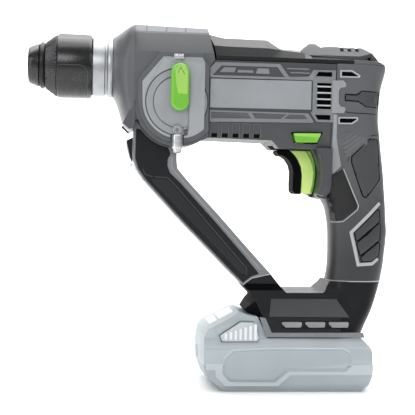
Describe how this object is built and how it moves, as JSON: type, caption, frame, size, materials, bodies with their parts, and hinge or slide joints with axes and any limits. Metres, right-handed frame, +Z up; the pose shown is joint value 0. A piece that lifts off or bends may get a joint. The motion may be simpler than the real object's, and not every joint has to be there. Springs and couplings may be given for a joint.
{
  "type": "cordless rotary hammer",
  "caption": "Cordless rotary hammer with a slim tool holder, side mode lever, D-shaped grip closed by a slanted front arm, trigger and a slide-on battery at the foot.",
  "frame": {"origin": "centre of the battery's flat underside, on the middle plane of the tool", "axes": "-X the way the tool bit points, +Y away from the side with the mode lever, +Z up"},
  "size_m": [0.2723, 0.0787, 0.2658],
  "materials": {
    "rubber_black": "soft matt black rubber",
    "plastic_black": "fine grained black plastic",
    "plastic_dark_grey": "fine grained dark grey plastic",
    "plastic_light_grey": "satin mid grey plastic",
    "case_grey": "satin grey painted die casting",
    "green": "half gloss bright green plastic",
    "neck_satin": "satin turned grey metal",
    "bright_metal": "polished plated steel",
    "steel": "ground steel",
    "bright_trim": "silver coloured moulded trim",
    "copper": "laminated steel with enamelled windings",
    "board": "green circuit board",
    "battery_pale": "pale blue-grey satin plastic",
    "battery_white": "near-white satin plastic",
    "cells": "wrapped battery cells, at the density of the whole cell",
    "lens": "clear moulded lens"
  },
  "bodies": {
    "housing": {"gear_case": "case_grey", "neck_collar": "neck_satin", "spindle_bearing": "steel", "bearing_plate": "neck_satin", "motor_bearing": "steel", "stator": "copper", "selector_cover": "plastic_light_grey", "upper_stud": "bright_metal", "clamp_bolt": "bright_metal", "body_left": "plastic_light_grey", "body_right": "plastic_light_grey", "top_cap": "plastic_black", "rear_top_cover": "plastic_dark_grey", "grip_left": "plastic_dark_grey", "grip_right": "plastic_dark_grey", "arm_left": "plastic_light_grey", "arm_right": "plastic_light_grey", "arm_inlay_left": "plastic_black", "arm_inlay_right": "plastic_black", "work_light": "plastic_black", "work_light_lens": "lens", "foot_left": "plastic_black", "foot_right": "plastic_black", "foot_trim_left": "bright_trim", "foot_trim_right": "bright_trim", "switch_module": "plastic_black", "control_board": "board", "terminal_block": "plastic_black", "screw_body": "steel", "screw_grip": "steel", "screw_foot": "steel", "screw_arm": "steel"},
    "spindle": {"spindle": "steel", "spindle_gear": "steel", "lock_ball_top": "bright_metal", "lock_ball_bottom": "bright_metal", "retaining_ring": "plastic_black", "dust_cap": "rubber_black", "chuck_spring": "steel"},
    "sleeve": {"locking_sleeve": "plastic_black", "grip_cone": "plastic_black"},
    "impact_bolt": {"impact_bolt": "steel"},
    "striker": {"striker": "steel"},
    "piston": {"piston": "steel"},
    "wobble": {"wobble_ring": "steel"},
    "intermediate": {"intermediate_shaft": "steel", "intermediate_gear": "steel"},
    "rotor": {"rotor_shaft": "steel", "rotor_core": "steel", "cooling_fan": "plastic_black"},
    "selector": {"selector_disc": "plastic_light_grey", "selector_lever": "green"},
    "trigger": {"trigger": "green", "trigger_pad": "plastic_black"},
    "direction": {"direction_button": "green"},
    "battery": {"battery_lower": "battery_pale", "battery_upper": "battery_pale", "cell_pack": "cells"},
    "release_left": {"release_button_left": "battery_white"},
    "release_right": {"release_button_right": "battery_white"}
  },
  "joints": [
    {"name": "spindle_spin", "type": "hinge", "parent": "housing", "child": "spindle", "pos_m": [-0.15, 0, 0.2354], "axis": [1, 0, 0], "continuous": true},
    {"name": "sleeve_slide", "type": "slide", "parent": "spindle", "child": "sleeve", "axis": [1, 0, 0], "range_m": [0, 0.0065], "stiffness_N_per_m": 1500, "springref_m": -0.004, "deforming": ["chuck_spring"]},
    {"name": "impact_bolt_slide", "type": "slide", "parent": "spindle", "child": "impact_bolt", "axis": [1, 0, 0], "range_m": [-0.003, 0]},
    {"name": "striker_slide", "type": "slide", "parent": "spindle", "child": "striker", "axis": [1, 0, 0], "range_m": [0, 0.006]},
    {"name": "wobble_rock", "type": "hinge", "parent": "housing", "child": "wobble", "pos_m": [-0.074, 0, 0.2039], "axis": [0, 1, 0], "range_deg": [-12, 12]},
    {"name": "piston_slide", "type": "slide", "parent": "housing", "child": "piston", "axis": [1, 0, 0], "range_m": [-0.0066, 0.0066]},
    {"name": "intermediate_spin", "type": "hinge", "parent": "housing", "child": "intermediate", "pos_m": [-0.08, 0, 0.2039], "axis": [1, 0, 0], "continuous": true},
    {"name": "rotor_spin", "type": "hinge", "parent": "housing", "child": "rotor", "pos_m": [-0.02, 0, 0.2219], "axis": [1, 0, 0], "continuous": true},
    {"name": "selector_turn", "type": "hinge", "parent": "housing", "child": "selector", "pos_m": [-0.0883, -0.034, 0.2085], "axis": [0, 1, 0], "range_deg": [-135, 0]},
    {"name": "trigger_pull", "type": "slide", "parent": "housing", "child": "trigger", "axis": [1, 0, 0], "range_m": [0, 0.0065], "stiffness_N_per_m": 800, "springref_m": -0.006},
    {"name": "direction_slide", "type": "slide", "parent": "housing", "child": "direction", "axis": [0, 1, 0], "range_m": [-0.003, 0.003]},
    {"name": "battery_slide", "type": "slide", "parent": "housing", "child": "battery", "axis": [-1, 0, 0], "range_m": [0, 0.09]},
    {"name": "release_left_press", "type": "slide", "parent": "battery", "child": "release_left", "axis": [0, 1, 0], "range_m": [0, 0.0025], "stiffness_N_per_m": 1200, "springref_m": -0.002},
    {"name": "release_right_press", "type": "slide", "parent": "battery", "child": "release_right", "axis": [0, -1, 0], "range_m": [0, 0.0025], "stiffness_N_per_m": 1200, "springref_m": -0.002}
  ],
  "couplings": [
    {"joint": "intermediate_spin", "follows": "spindle_spin", "ratio": -2.5},
    {"joint": "rotor_spin", "follows": "spindle_spin", "ratio": 8.75},
    {"joint": "wobble_rock", "follows": "piston_slide", "rad_per_m": 31.7}
  ]
}
